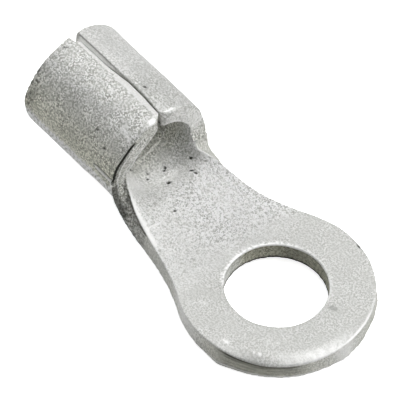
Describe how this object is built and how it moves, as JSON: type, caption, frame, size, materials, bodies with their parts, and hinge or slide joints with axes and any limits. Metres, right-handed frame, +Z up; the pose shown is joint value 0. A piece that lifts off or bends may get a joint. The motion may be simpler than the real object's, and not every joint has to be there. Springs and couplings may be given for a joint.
{
  "type": "uninsulated ring terminal",
  "caption": "Bare crimp terminal stamped from tinned copper sheet, with a rolled open barrel for the wire, a waisted neck and a flat ring for the stud.",
  "frame": {"origin": "centre of the stud hole on the underside of the flat ring", "axes": "+Z up through the stud hole, +X from the barrel towards the ring's tip, so wire leaves along -X; the part mirrors across the XZ plane"},
  "size_m": [0.0255, 0.012, 0.0075],
  "materials": {
    "tinned_copper": "dull tin plating on copper sheet"
  },
  "bodies": {
    "root": {"ring_terminal": "tinned_copper"}
  },
  "joints": []
}
